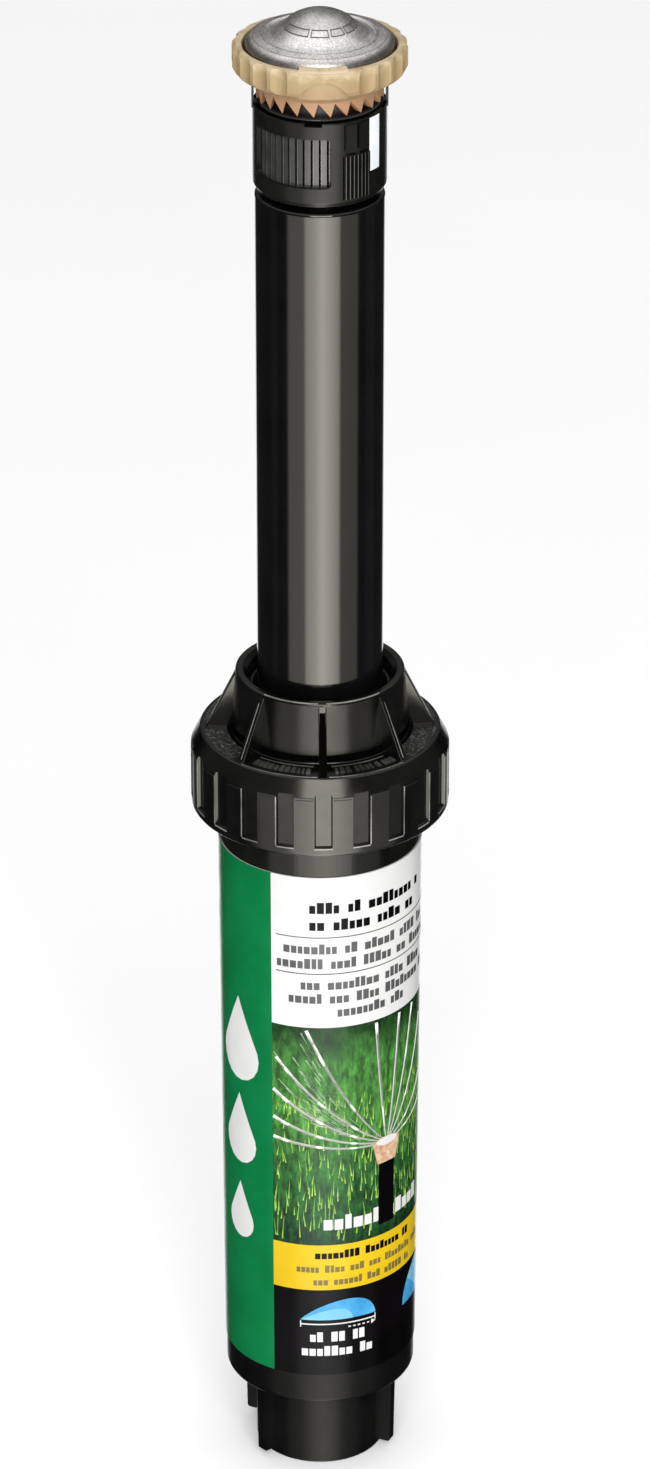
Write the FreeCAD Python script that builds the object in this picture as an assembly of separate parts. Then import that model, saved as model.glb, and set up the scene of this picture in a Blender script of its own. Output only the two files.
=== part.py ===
import FreeCAD, Part
import math
import os

from FreeCAD import Vector

# Pop-up lawn sprinkler with an adjustable rotary nozzle, standing with its riser extended.
# Millimetres, +Z up. The origin is the centre of the inlet mouth, on the underside of the boss.
# The front of the sprinkler faces -Y. Bearings are degrees from the front, positive towards +X.

# --- Driving dimensions -------------------------------------------------------------------
POP_UP = 101.6              # travel of the riser, a 4 inch pop-up
RUN_GAP = 0.1               # radial clearance of a turning fit
FREE_GAP = 0.3              # clearance between pieces that only pass each other
FACE_GAP = 0.1              # axial clearance between stacked pieces of different bodies

# Inlet boss, half-inch female pipe thread
INLET_R = 9.3               # crest radius of the pipe thread
INLET_DEPTH = 14.5
THROAT_R = 7.5
BOSS_R = 11.4
BOSS_FIN_REACH = 14.1
BOSS_FIN_WIDTH = 1.7
BOSS_FIN_LOW_Z = 1.5
BOSS_FIN_BEARINGS = (-48, 65, 132, -115)

# Case
CASE_STEP_Z = 15.9          # underside of the canister
CASE_FLOOR_Z = 17.9
CASE_FOOT_R = 16.65
CASE_TOP_R = 17.35
CASE_TAPER_TOP_Z = 128.0
CASE_BORE_R = 14.7
CASE_TOP_Z = 138.4
GUIDE_RIB_R = 13.8
GUIDE_RIB_WIDTH = 1.6
GUIDE_RIB_COUNT = 4
GUIDE_RIB_TOP_Z = 130.0

# Cap thread
THREAD_PITCH = 3.0
THREAD_CREST_R = 18.1
THREAD_LOW_Z = 130.6
THREAD_TURNS = 2.0

# Label
LABEL_LOW_Z = 22.0
LABEL_TOP_Z = 121.9
LABEL_THICK = 0.2

# Cap
CAP_LOW_Z = 128.3
CAP_R = 22.1
CAP_WALL_TOP_Z = 139.5
CAP_DECK_R = 20.5
CAP_DECK_Z = 142.5
CAP_NECK_FOOT_R = 15.35
CAP_RIM_R = 14.4
CAP_RIM_Z = 153.5
CAP_BORE_R = 18.5
CAP_SHOULDER_Z = 140.4
SEAL_POCKET_R = 13.1
SEAL_POCKET_TOP_Z = 149.6
CAP_MOUTH_R = 12.4
CAP_TURN = 1.6              # bearing of the cap's first rib and first fin
GRIP_COUNT = 21
GRIP_WIDTH = 3.1             # width of a pocket at the cap's surface
GRIP_FLOOR_R = 21.6
GRIP_SLOPE = 0.25           # how far a pocket's walls lean outwards
GRIP_LOW_Z = 130.0
GRIP_TOP_Z = 140.1
FIN_COUNT = 8
FIN_WIDTH = 1.35
FIN_FOOT_R = 19.7

# Wiper seal
SEAL_LIP_R = 11.4
SEAL_SLEEVE_R = 12.8
SEAL_FLANGE_R = 16.8
SEAL_TOP_Z = 150.6

# Riser
RISER_R = 10.8
RISER_FOOT_R = 10.7
RISER_BORE_R = 9.0
RISER_TOP_Z = 240.9
STUB_R = 7.3
STUB_BORE_R = 5.6
STUB_TOP_Z = 248.4
FLANGE_LOW_Z = 125.2
FLANGE_TOP_Z = 127.2
FLANGE_R = 13.4
CLICK_ROOT_R = 11.0
CLICK_TIP_R = 11.6
CLICK_COUNT = 36
CLICK_LOW_Z = 121.4
RETAINER_LOW_Z = CASE_FLOOR_Z + POP_UP + 0.7    # clear of the case floor when the riser is down
RATCHET_R = 14.3
RATCHET_BORE_R = 12.0
PAWL_TIP_R = 11.75

# Retract spring, squeezed nearly solid while the riser is out
SPRING_R = 12.3
SPRING_WIRE = 1.16
SPRING_TURNS = 7.5
WASHER_LOW_Z = 137.5

# Nozzle barrel
BARREL_LOW_Z = 242.0
BARREL_TOP_Z = 256.8
BARREL_R = 11.05
EAR_INNER_R = 10.8
EAR_OUTER_R = 11.2
EAR_TOP_Z = 259.4
EAR_BEARING = 92.0
BARREL_SHELL_BORE_R = 10.3
POCKET_FLOOR_Z = 245.0
SLEEVE_R = 8.7
SLEEVE_BORE_R = 7.4
SLEEVE_TOP_Z = 252.6
WINDOW_COUNT = 2
WINDOW_BEARING = -29.5
WINDOW_SPREAD = 79.0
WINDOW_LOW_Z = 245.4
WINDOW_TOP_Z = 254.0
GRIP_BEARING = 34.0
GRIP_LINE_COUNT = 7
GRIP_LINE_STEP = 3.8
GRIP_LINES_TOP_Z = 251.0
MARKER_BEARING = 54.0
MARKER_SPREAD = 14.0
MARKER_LOW_Z = 247.2
MARKER_FLOOR_R = 10.6

# Radius ring
RADIUS_RING_R = 10.15
RADIUS_ROOT_R = 9.75
RADIUS_LOW_Z = 245.1
RADIUS_TOP_Z = 254.4
RADIUS_LIP_R = 9.2          # bore of the upper lip, which stands round the collar's hub
RADIUS_LIP_Z = 257.2
RADIUS_RIB_COUNT = 48

# Core and shaft
CORE_LOW_Z = 250.2
CORE_TOP_Z = 256.4
HUB_R = 2.6
BUSH_R = 1.9
SHAFT_R = 1.2
SHAFT_LOW_Z = 238.2
SHAFT_TOP_Z = 265.9
CLIP_LOW_Z = 239.2
CLIP_THICK = 0.6

# Arc collar
COLLAR_R = 14.4
COLLAR_BORE_R = 12.75
COLLAR_TOP_Z = 266.8
COLLAR_LOW_Z = 257.7
TOOTH_COUNT = 24
TOOTH_DEPTH = 2.4
TOOTH_SKEW = 20.0           # degrees that the gaps between teeth turn from the radius
TOOTH_RING_R = 10.5
FLUTE_COUNT = 24
FLUTE_DEPTH = 0.7
FLUTE_R = 2.2
FLUTE_LOW_Z = 261.6
TAB_BEARING = 2.5
TAB_SPREAD = 34.0
TAB_RISE = 0.6
TAB_SPLITS = (-3, 4)        # bearings of the fine splits in the tab, from its middle
TAB_ARCH_R = 4.3
TAB_ARCH_Z = 260.9
TAB_ARCH_TOP_R = 13.7       # the floor of the recess leans in from here
TAB_ARCH_FOOT_R = 12.4      # to here, where it runs out into the cone
TAB_ARCH_FOOT_Z = 261.4

# Deflector and cover
DISC_R = 12.4
DISC_LOW_Z = 265.5
DOME_TOP_Z = 272.4
DOME_R = 9.0                # radius of the ball that the crown is part of
DOME_EDGE_R = 5.1
COVER_THICK = 0.9
ROTOR_LOW_Z = 258.9
ROTOR_R = 11.5
VANE_COUNT = 14
CHAMBER_R = 6.0             # brake chamber inside the deflector
CHAMBER_FLOOR_Z = 262.9
LID_THICK = 0.7


# --- Shape helpers ------------------------------------------------------------------------
def outline(corners):
    """Flat face in the XZ plane. A corner is (r, z), or (r, z, radius) where it is rounded."""
    points = [Vector(c[0], 0, c[1]) for c in corners]
    edges, ends = [], []
    for i, corner in enumerate(corners):
        here = points[i]
        radius = corner[2] if len(corner) == 3 else 0
        if not radius:
            ends.append((here, here))
            continue
        back = (points[i - 1] - here).normalize()
        ahead = (points[(i + 1) % len(points)] - here).normalize()
        half = back.getAngle(ahead) / 2
        start = here + back * (radius / math.tan(half))
        end = here + ahead * (radius / math.tan(half))
        centre = here + (back + ahead).normalize() * (radius / math.sin(half))
        middle = centre + (here - centre).normalize() * radius
        edges.append((i, Part.Arc(start, middle, end).toShape()))
        ends.append((start, end))
    arcs = dict(edges)
    wire = []
    for i in range(len(points)):
        if i in arcs:
            wire.append(arcs[i])
        leave = ends[i][1]
        arrive = ends[(i + 1) % len(points)][0]
        if (arrive - leave).Length > 1e-6:
            wire.append(Part.LineSegment(leave, arrive).toShape())
    return Part.Face(Part.Wire(wire))


def spun(corners, sweep=360.0):
    """Solid of revolution about Z from an outline, starting in the XZ plane."""
    return outline(corners).revolve(Vector(0, 0, 0), Vector(0, 0, 1), sweep)


def ring(inner, outer, low, top):
    return spun([(inner, low), (outer, low), (outer, top), (inner, top)])


def rod(radius, low, top):
    return Part.makeCylinder(radius, top - low, Vector(0, 0, low))


def turned(shape, degrees):
    copy = shape.copy()
    copy.rotate(Vector(0, 0, 0), Vector(0, 0, 1), degrees)
    return copy


def at_bearing(shape, bearing):
    """Turns a shape made along +X so that it faces the bearing, counted from the front, -Y."""
    return turned(shape, bearing - 90)


def around(shape, count, first=0.0):
    """Copies of a shape made along +X, spread evenly about Z, the first at that bearing."""
    return [at_bearing(shape, first + i * 360.0 / count) for i in range(count)]


def bar(inner, outer, width, low, top):
    """Block along +X, centred on the XZ plane."""
    return Part.makeBox(outer - inner, width, top - low, Vector(inner, -width / 2, low))


def fin(corners, width):
    """Upright plate in the XZ plane, with that thickness."""
    plate = outline(corners).extrude(Vector(0, width, 0))
    plate.translate(Vector(0, -width / 2, 0))
    return plate


def joined(first, others):
    return first.fuse(others).removeSplitter()


def coil(radius, wire, low, top, turns):
    """Open-ended round-wire spring whose ends lie inside low and top."""
    height = top - low - wire
    path = Part.makeHelix(height / turns, height, radius)
    start = Part.Wire(Part.makeCircle(wire / 2, Vector(radius, 0, 0), Vector(0, 1, 0)))
    spring = Part.Wire(path).makePipeShell([start], True, True)
    spring.translate(Vector(0, 0, low + wire / 2))
    return spring


def thread_ridge(root, crest, root_width, crest_width, low, turns):
    """Right-hand helical ridge of trapezoid section. The crest may be outside or inside the root."""
    path = Part.makeHelix(THREAD_PITCH, THREAD_PITCH * turns, abs(root))
    corners = [(root, -root_width / 2), (crest, -crest_width / 2),
               (crest, crest_width / 2), (root, root_width / 2)]
    section = Part.makePolygon([Vector(r, 0, z) for r, z in corners + corners[:1]])
    ridge = Part.Wire(path).makePipeShell([section], True, True)
    ridge.translate(Vector(0, 0, low))
    return ridge


# --- Case ---------------------------------------------------------------------------------
def case_r(z):
    """Outer radius of the case, which tapers towards its foot."""
    share = (z - CASE_STEP_Z) / (CASE_TAPER_TOP_Z - CASE_STEP_Z)
    return CASE_FOOT_R + (CASE_TOP_R - CASE_FOOT_R) * min(1.0, share)


def boss_fin():
    top_z = CASE_STEP_Z + 0.5
    return fin([(BOSS_R - 1, BOSS_FIN_LOW_Z), (BOSS_FIN_REACH, BOSS_FIN_LOW_Z, 0.5),
                (BOSS_FIN_REACH + 0.3, top_z), (BOSS_R - 1, top_z)], BOSS_FIN_WIDTH)


def body_case():
    rim_edge = 0.4
    shell = spun([
        (INLET_R, 0), (BOSS_R, 0, 0.5), (BOSS_R, CASE_STEP_Z, 0.6),
        (CASE_FOOT_R, CASE_STEP_Z, 0.9), (CASE_TOP_R, CASE_TAPER_TOP_Z), (CASE_TOP_R, CASE_TOP_Z, rim_edge),
        (CASE_BORE_R, CASE_TOP_Z, rim_edge), (CASE_BORE_R, CASE_FLOOR_Z, 0.8),
        (THROAT_R, CASE_FLOOR_Z, 0.5), (THROAT_R, INLET_DEPTH, 0.3), (INLET_R, INLET_DEPTH)])
    boss_fins = [at_bearing(boss_fin(), bearing) for bearing in BOSS_FIN_BEARINGS]
    guide = bar(GUIDE_RIB_R, CASE_BORE_R + 0.5, GUIDE_RIB_WIDTH, CASE_FLOOR_Z - 0.5, GUIDE_RIB_TOP_Z)
    thread = thread_ridge(CASE_TOP_R - 0.2, THREAD_CREST_R, 1.7, 0.8, THREAD_LOW_Z, THREAD_TURNS)
    return joined(shell, boss_fins + around(guide, GUIDE_RIB_COUNT) + [thread])


def label_sleeve():
    low, top = case_r(LABEL_LOW_Z), case_r(LABEL_TOP_Z)
    return spun([(low, LABEL_LOW_Z), (low + LABEL_THICK, LABEL_LOW_Z),
                 (top + LABEL_THICK, LABEL_TOP_Z), (top, LABEL_TOP_Z)])


def retract_spring():
    return coil(SPRING_R, SPRING_WIRE, FLANGE_TOP_Z + FACE_GAP, WASHER_LOW_Z - FACE_GAP, SPRING_TURNS)


def spring_washer():
    return ring(SEAL_LIP_R + 0.2, GUIDE_RIB_R + 0.3, WASHER_LOW_Z, CASE_TOP_Z - FACE_GAP)


# --- Cap and seal -------------------------------------------------------------------------
def pocket_cutter():
    """Tapered block along +X that sinks a grip pocket into the cap's wall."""
    reach = 1.0
    depth = CAP_R - GRIP_FLOOR_R
    flare = GRIP_SLOPE * (1 + reach / depth)
    half = GRIP_WIDTH / 2 - GRIP_SLOPE
    wide = half + flare
    low, top = GRIP_LOW_Z + GRIP_SLOPE, GRIP_TOP_Z - GRIP_SLOPE
    cutter = Part.makeWedge(-half, 0, low, low - flare, -wide,
                            half, depth + reach, top, top + flare, wide)
    cutter.translate(Vector(0, GRIP_FLOOR_R, 0))
    return turned(cutter, -90)


def threaded_cap():
    body = spun([
        (CAP_BORE_R, CAP_LOW_Z, 0.4), (CAP_R, CAP_LOW_Z, 0.6), (CAP_R, CAP_WALL_TOP_Z, 0.3),
        (CAP_DECK_R, CAP_DECK_Z, 0.4), (CAP_NECK_FOOT_R, CAP_DECK_Z, 0.5),
        (CAP_RIM_R, CAP_RIM_Z, 0.5), (SEAL_POCKET_R + 0.1, CAP_RIM_Z, 0.2),
        (CAP_MOUTH_R, CAP_RIM_Z - 0.9), (CAP_MOUTH_R, SEAL_POCKET_TOP_Z),
        (SEAL_POCKET_R, SEAL_POCKET_TOP_Z), (SEAL_POCKET_R, CAP_SHOULDER_Z),
        (CAP_BORE_R, CAP_SHOULDER_Z)])
    gusset = fin([(SEAL_POCKET_R + 0.4, CAP_RIM_Z - 0.6), (CAP_RIM_R, CAP_RIM_Z - 0.5),
                  (FIN_FOOT_R, CAP_DECK_Z - 0.3), (SEAL_POCKET_R + 0.4, CAP_DECK_Z - 0.3)], FIN_WIDTH)
    slopes = [e for e in gusset.Edges if abs(e.tangentAt(e.FirstParameter).x) > 0.3
              and abs(e.tangentAt(e.FirstParameter).z) > 0.3]
    gusset = gusset.makeFillet(0.2, slopes)
    ridge = thread_ridge(CAP_BORE_R + 0.2, CASE_TOP_R + 0.3, 1.5, 0.6,
                         THREAD_LOW_Z + THREAD_PITCH / 2, THREAD_TURNS)
    body = joined(body, around(gusset, FIN_COUNT, CAP_TURN) + [ridge])
    return body.cut(around(pocket_cutter(), GRIP_COUNT, CAP_TURN))


def wiper_seal():
    flange_low = CASE_TOP_Z + FACE_GAP
    flange_top = CAP_SHOULDER_Z - FACE_GAP
    sleeve_top = SEAL_POCKET_TOP_Z - FACE_GAP * 2
    return spun([
        (SEAL_LIP_R + 0.3, flange_low), (SEAL_FLANGE_R, flange_low, 0.3),
        (SEAL_FLANGE_R, flange_top, 0.3), (SEAL_SLEEVE_R, flange_top, 0.4),
        (SEAL_SLEEVE_R, sleeve_top, 0.3), (CAP_MOUTH_R - FREE_GAP, sleeve_top, 0.2),
        (CAP_MOUTH_R - FREE_GAP, SEAL_TOP_Z, 0.3), (SEAL_LIP_R, SEAL_TOP_Z, 0.2),
        (SEAL_LIP_R + 0.5, SEAL_TOP_Z - 2.2, 0.4), (SEAL_LIP_R, SEAL_TOP_Z - 4.4, 0.2),
        (SEAL_LIP_R + 0.5, SEAL_TOP_Z - 6.6, 0.4)])


# --- Riser and its ratchet ----------------------------------------------------------------
def riser_stem():
    bore_top = RISER_TOP_Z - 3.4
    tube = spun([
        (RISER_BORE_R, CLICK_LOW_Z), (CLICK_ROOT_R, CLICK_LOW_Z), (CLICK_ROOT_R, FLANGE_LOW_Z),
        (FLANGE_R, FLANGE_LOW_Z, 0.4), (FLANGE_R, FLANGE_TOP_Z, 0.4), (RISER_FOOT_R, FLANGE_TOP_Z, 0.3),
        (RISER_R, RISER_TOP_Z, 0.6), (STUB_R, RISER_TOP_Z, 0.3), (STUB_R, STUB_TOP_Z, 0.4),
        (STUB_BORE_R, STUB_TOP_Z), (STUB_BORE_R, bore_top, 0.4), (RISER_BORE_R, bore_top, 0.8)])
    tooth_width = 0.9
    tooth = fin([(CLICK_ROOT_R - 0.4, CLICK_LOW_Z), (CLICK_TIP_R, CLICK_LOW_Z),
                 (CLICK_TIP_R, FLANGE_LOW_Z + 0.2), (CLICK_ROOT_R - 0.4, FLANGE_LOW_Z + 0.2)], tooth_width)
    return joined(tube, around(tooth, CLICK_COUNT))


def ratchet_ring():
    low, top = CLICK_LOW_Z + FACE_GAP, FLANGE_LOW_Z - FREE_GAP
    body = ring(RATCHET_BORE_R, RATCHET_R, low, top)
    notch = bar(GUIDE_RIB_R - 0.5, RATCHET_R + 1, GUIDE_RIB_WIDTH + 0.8, low - 1, top + 1)
    pawl = Part.Face(Part.makePolygon([
        Vector(PAWL_TIP_R, -0.25, low), Vector(RATCHET_BORE_R + 0.4, -0.9, low),
        Vector(RATCHET_BORE_R + 0.4, 0.9, low), Vector(PAWL_TIP_R, 0.25, low),
        Vector(PAWL_TIP_R, -0.25, low)])).extrude(Vector(0, 0, top - low))
    body = joined(body, around(pawl, GUIDE_RIB_COUNT, 45))
    return body.cut(around(notch, GUIDE_RIB_COUNT))


def ratchet_retainer():
    return spun([(RISER_BORE_R, RETAINER_LOW_Z), (FLANGE_R - 0.2, RETAINER_LOW_Z, 0.4),
                 (FLANGE_R - 0.2, CLICK_LOW_Z), (RISER_BORE_R, CLICK_LOW_Z)])


# --- Filter under the nozzle --------------------------------------------------------------
FILTER_R = 5.3
FILTER_BORE_R = 4.5
FILTER_LOW_Z = 204.0
FILTER_TIERS = 3
FILTER_SLOTS = 12
FILTER_FLANGE_TOP_Z = STUB_TOP_Z + 0.9


def filter_frame():
    body = spun([
        (0, FILTER_LOW_Z), (2.2, FILTER_LOW_Z, 0.5), (FILTER_R, FILTER_LOW_Z + 5, 0.8),
        (FILTER_R, STUB_TOP_Z), (STUB_R, STUB_TOP_Z), (STUB_R, FILTER_FLANGE_TOP_Z),
        (FILTER_BORE_R, FILTER_FLANGE_TOP_Z), (FILTER_BORE_R, FILTER_LOW_Z + 5.6),
        (1.8, FILTER_LOW_Z + 1), (0, FILTER_LOW_Z + 1)])
    tier = (STUB_TOP_Z - 8 - (FILTER_LOW_Z + 6)) / FILTER_TIERS
    slots = []
    for i in range(FILTER_TIERS):
        low = FILTER_LOW_Z + 6.5 + i * tier
        slots += around(bar(FILTER_BORE_R - 1, FILTER_R + 1, 1.6, low, low + tier - 1.2), FILTER_SLOTS)
    return body.cut(slots)


def filter_screen():
    return ring(FILTER_BORE_R - 0.2, FILTER_BORE_R, FILTER_LOW_Z + 5.8, STUB_TOP_Z - 7)


def nozzle_gasket():
    return ring(STUB_BORE_R, STUB_R, FILTER_FLANGE_TOP_Z, CORE_LOW_Z)


# --- Nozzle barrel ------------------------------------------------------------------------
def window_cutter():
    """Radial opening with rounded corners, made along +X."""
    corner = 1.0
    cutter = spun([(BARREL_SHELL_BORE_R - 0.2, WINDOW_LOW_Z), (BARREL_R + 1, WINDOW_LOW_Z),
                   (BARREL_R + 1, WINDOW_TOP_Z), (BARREL_SHELL_BORE_R - 0.2, WINDOW_TOP_Z)], WINDOW_SPREAD)
    radial = [e for e in cutter.Edges
              if len(e.Vertexes) == 2
              and abs(math.hypot(e.Vertexes[0].X, e.Vertexes[0].Y)
                      - math.hypot(e.Vertexes[1].X, e.Vertexes[1].Y)) > 0.5]
    return turned(cutter.makeFillet(corner, radial), -WINDOW_SPREAD / 2)


def grip_lines(bearing):
    """Fine upright ribs with two raised tongues above them, beside a window of the barrel."""
    first = bearing - GRIP_LINE_STEP * (GRIP_LINE_COUNT - 1) / 2
    root = BARREL_SHELL_BORE_R + 0.3
    proud = 0.15
    line = bar(root, BARREL_R + proud, 0.34, BARREL_LOW_Z + 1.2, GRIP_LINES_TOP_Z)
    shapes = [at_bearing(line, first + i * GRIP_LINE_STEP) for i in range(GRIP_LINE_COUNT)]
    tongue_width, tongue_corner, tongue_place = 2.0, 0.7, 6.5
    tongue_low = GRIP_LINES_TOP_Z + 0.4
    tongue = bar(root, BARREL_R + proud, tongue_width, tongue_low, BARREL_TOP_Z - 0.5)
    foot = [e for e in tongue.Edges if e.BoundBox.XLength > 0.5 and e.BoundBox.ZMax < tongue_low + 0.1]
    tongue = tongue.makeFillet(tongue_corner, foot)
    for side in (-1, 1):
        shapes.append(at_bearing(tongue, bearing + side * tongue_place))
    return shapes


def nozzle_base():
    barrel = spun([
        (SLEEVE_BORE_R, BARREL_LOW_Z), (BARREL_R - 0.5, BARREL_LOW_Z, 0.2),
        (BARREL_R, BARREL_LOW_Z + 0.9, 0.4), (BARREL_R, BARREL_TOP_Z, 0.25),
        (BARREL_SHELL_BORE_R, BARREL_TOP_Z), (BARREL_SHELL_BORE_R, POCKET_FLOOR_Z),
        (SLEEVE_R, POCKET_FLOOR_Z), (SLEEVE_R, SLEEVE_TOP_Z), (SLEEVE_BORE_R, SLEEVE_TOP_Z)])
    windows = around(window_cutter(), WINDOW_COUNT, WINDOW_BEARING)
    notch_bearing, notch_width = -5.6, 2.9
    notch = bar(BARREL_SHELL_BORE_R - 1, BARREL_R + 1, notch_width, BARREL_TOP_Z - 0.6, BARREL_TOP_Z + 1)
    barrel = barrel.cut(windows + around(notch, WINDOW_COUNT, notch_bearing))
    lines = []
    for i in range(WINDOW_COUNT):
        lines += grip_lines(GRIP_BEARING + i * 360.0 / WINDOW_COUNT)
    ear = bar(EAR_INNER_R, EAR_OUTER_R, 1.6, BARREL_TOP_Z - 1, EAR_TOP_Z)
    lines += around(ear, 2, EAR_BEARING)
    return joined(barrel, lines).cut(edge_marker())


def edge_marker():
    """White inlay in the barrel that shows the fixed edge of the watered arc."""
    top = BARREL_TOP_Z - 0.3
    plate = spun([(MARKER_FLOOR_R, MARKER_LOW_Z), (BARREL_R, MARKER_LOW_Z),
                  (BARREL_R, top), (MARKER_FLOOR_R, top)], MARKER_SPREAD)
    return at_bearing(plate, MARKER_BEARING - MARKER_SPREAD / 2)


def radius_ring():
    """Ribbed drum between the barrel and its sleeve, with a web over the sleeve's top."""
    web_bore, web_low = SLEEVE_BORE_R + 0.3, SLEEVE_TOP_Z + FACE_GAP * 2
    groove_width = 0.36
    sleeve = spun([
        (SLEEVE_R + RUN_GAP, RADIUS_LOW_Z), (RADIUS_RING_R, RADIUS_LOW_Z, 0.2),
        (RADIUS_RING_R, RADIUS_LIP_Z, 0.2), (RADIUS_LIP_R, RADIUS_LIP_Z, 0.2),
        (RADIUS_LIP_R, RADIUS_TOP_Z), (web_bore, RADIUS_TOP_Z),
        (web_bore, web_low), (SLEEVE_R + RUN_GAP, web_low)])
    groove = bar(RADIUS_ROOT_R, RADIUS_RING_R + 1, groove_width, RADIUS_LOW_Z - 1, RADIUS_TOP_Z - 0.1)
    return sleeve.cut(around(groove, RADIUS_RIB_COUNT))


# --- Core, shaft and flush spring ---------------------------------------------------------
def nozzle_core():
    plate_top = CORE_LOW_Z + 1.8
    shoulder_z = SLEEVE_TOP_Z - 0.2
    wall_r, wall_bore_r = STUB_R - RUN_GAP, STUB_BORE_R + 0.6
    port_r, port_place, port_count = 1.15, 4.3, 8
    body = spun([
        (BUSH_R, CORE_LOW_Z), (SLEEVE_BORE_R, CORE_LOW_Z), (SLEEVE_BORE_R, shoulder_z),
        (wall_r, shoulder_z), (wall_r, CORE_TOP_Z, 0.2), (wall_bore_r, CORE_TOP_Z, 0.2),
        (wall_bore_r, plate_top, 0.4), (HUB_R, plate_top, 0.4), (HUB_R, CORE_TOP_Z, 0.2),
        (BUSH_R, CORE_TOP_Z)])
    port = Part.makeCylinder(port_r, plate_top - CORE_LOW_Z + 2, Vector(port_place, 0, CORE_LOW_Z - 1))
    return body.cut(around(port, port_count))


def shaft_bush():
    return ring(SHAFT_R + RUN_GAP, BUSH_R, CORE_LOW_Z, CORE_TOP_Z)


def deflector_shaft():
    shaft = rod(SHAFT_R, SHAFT_LOW_Z, SHAFT_TOP_Z)
    ends = [e for e in shaft.Edges if e.Curve.TypeId == "Part::GeomCircle"]
    shaft = shaft.makeChamfer(0.25, ends)
    return shaft.cut(ring(SHAFT_R - 0.3, SHAFT_R + 1, CLIP_LOW_Z, CLIP_LOW_Z + CLIP_THICK))


def shaft_clip():
    top = CLIP_LOW_Z + CLIP_THICK
    washer = ring(SHAFT_R - 0.3, 3.0, CLIP_LOW_Z, top)
    return washer.cut(bar(0, 5, 1.5, CLIP_LOW_Z - 1, top + 1))


def flush_spring():
    radius, wire, turns = SHAFT_R + 1.0, 0.5, 6
    return coil(radius, wire, CLIP_LOW_Z + CLIP_THICK + FACE_GAP, CORE_LOW_Z - FACE_GAP, turns)


# --- Arc collar ---------------------------------------------------------------------------
def tooth_notch():
    """Upright V near +X, wide at the foot of the collar, that leaves a leaning tooth each side."""
    half = math.pi * TOOTH_RING_R / TOOTH_COUNT
    low = COLLAR_LOW_Z - 0.01
    start = SLEEVE_R + 0.2
    slope = math.tan(math.radians(TOOTH_SKEW))
    shift = (start - TOOTH_RING_R) * slope
    corners = [Vector(start, shift - half, low), Vector(start, shift + half, low),
               Vector(start, shift - half * 0.5, low + TOOTH_DEPTH)]
    face = Part.Face(Part.makePolygon(corners + corners[:1]))
    return face.extrude(Vector(COLLAR_R - start, (COLLAR_R - start) * slope, 0))


def collar_flutes():
    """Shallow scallops round the grip rim, left out where the tab stands."""
    flute = Part.makeCylinder(FLUTE_R, COLLAR_TOP_Z - FLUTE_LOW_Z + 1,
                              Vector(COLLAR_R + FLUTE_R - FLUTE_DEPTH, 0, FLUTE_LOW_Z))
    step = 360.0 / FLUTE_COUNT
    return [f for i, f in enumerate(around(flute, FLUTE_COUNT, TAB_BEARING))
            if min(i, FLUTE_COUNT - i) * step > TAB_SPREAD / 2]


def collar_tab():
    """Raised part of the rim that marks the movable edge of the watered arc."""
    inner, outer = COLLAR_BORE_R - 0.1, COLLAR_R - 0.1
    foot, top = COLLAR_TOP_Z - 1.2, COLLAR_TOP_Z + TAB_RISE
    tab = spun([(inner, foot), (outer, foot), (outer - 0.25, top - 0.4, 0.4), (inner, top, 0.2)],
               TAB_SPREAD)
    return at_bearing(tab, TAB_BEARING - TAB_SPREAD / 2)


def tab_arch():
    """Round-topped recess in the wall under the tab, whose floor leans in to the cone below."""
    drum = Part.makeCylinder(TAB_ARCH_R, COLLAR_R - TAB_ARCH_FOOT_R + 2,
                             Vector(TAB_ARCH_FOOT_R - 1, 0, TAB_ARCH_Z), Vector(1, 0, 0))
    low, top = TAB_ARCH_Z - TAB_ARCH_R - 1, TAB_ARCH_Z + TAB_ARCH_R
    core = TAB_ARCH_FOOT_R / 2
    kept = spun([(core, low), (TAB_ARCH_FOOT_R, low), (TAB_ARCH_FOOT_R, TAB_ARCH_FOOT_Z),
                 (TAB_ARCH_TOP_R, top), (TAB_ARCH_TOP_R, top + 1), (core, top + 1)])
    return at_bearing(drum.cut(kept), TAB_BEARING)


def arc_collar():
    hub_bore = STUB_R + RUN_GAP
    hub_low = RADIUS_TOP_Z + FACE_GAP * 2
    web_low = COLLAR_LOW_Z + TOOTH_DEPTH
    tooth_bore = SLEEVE_R + 0.6
    bowl = spun([
        (hub_bore, hub_low), (SLEEVE_R, hub_low), (SLEEVE_R, web_low), (tooth_bore, web_low),
        (tooth_bore, COLLAR_LOW_Z), (TOOTH_RING_R, COLLAR_LOW_Z), (TOOTH_RING_R, web_low + 0.1),
        (12.2, 261.4, 0.8), (13.9, 262.4, 0.5), (COLLAR_R, 263.2, 0.6),
        (COLLAR_R, COLLAR_TOP_Z - 0.3, 0.5), (COLLAR_R - 0.6, COLLAR_TOP_Z, 0.2),
        (COLLAR_BORE_R, COLLAR_TOP_Z, 0.25), (COLLAR_BORE_R, 263.6, 1.5),
        (11.2, 261.6, 1.5), (9.4, web_low + 1.1, 0.8), (hub_bore, web_low + 0.9)])
    teeth = around(tooth_notch(), TOOTH_COUNT, TAB_BEARING)
    bowl = bowl.cut(collar_flutes() + teeth + [tab_arch()])
    bowl = joined(bowl, [collar_tab()])
    split_width = 0.25
    split = bar(COLLAR_BORE_R - 1, COLLAR_R + 1, split_width, COLLAR_TOP_Z + 0.3, COLLAR_TOP_Z + 2)
    return bowl.cut([at_bearing(split, TAB_BEARING + offset) for offset in TAB_SPLITS])


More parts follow.
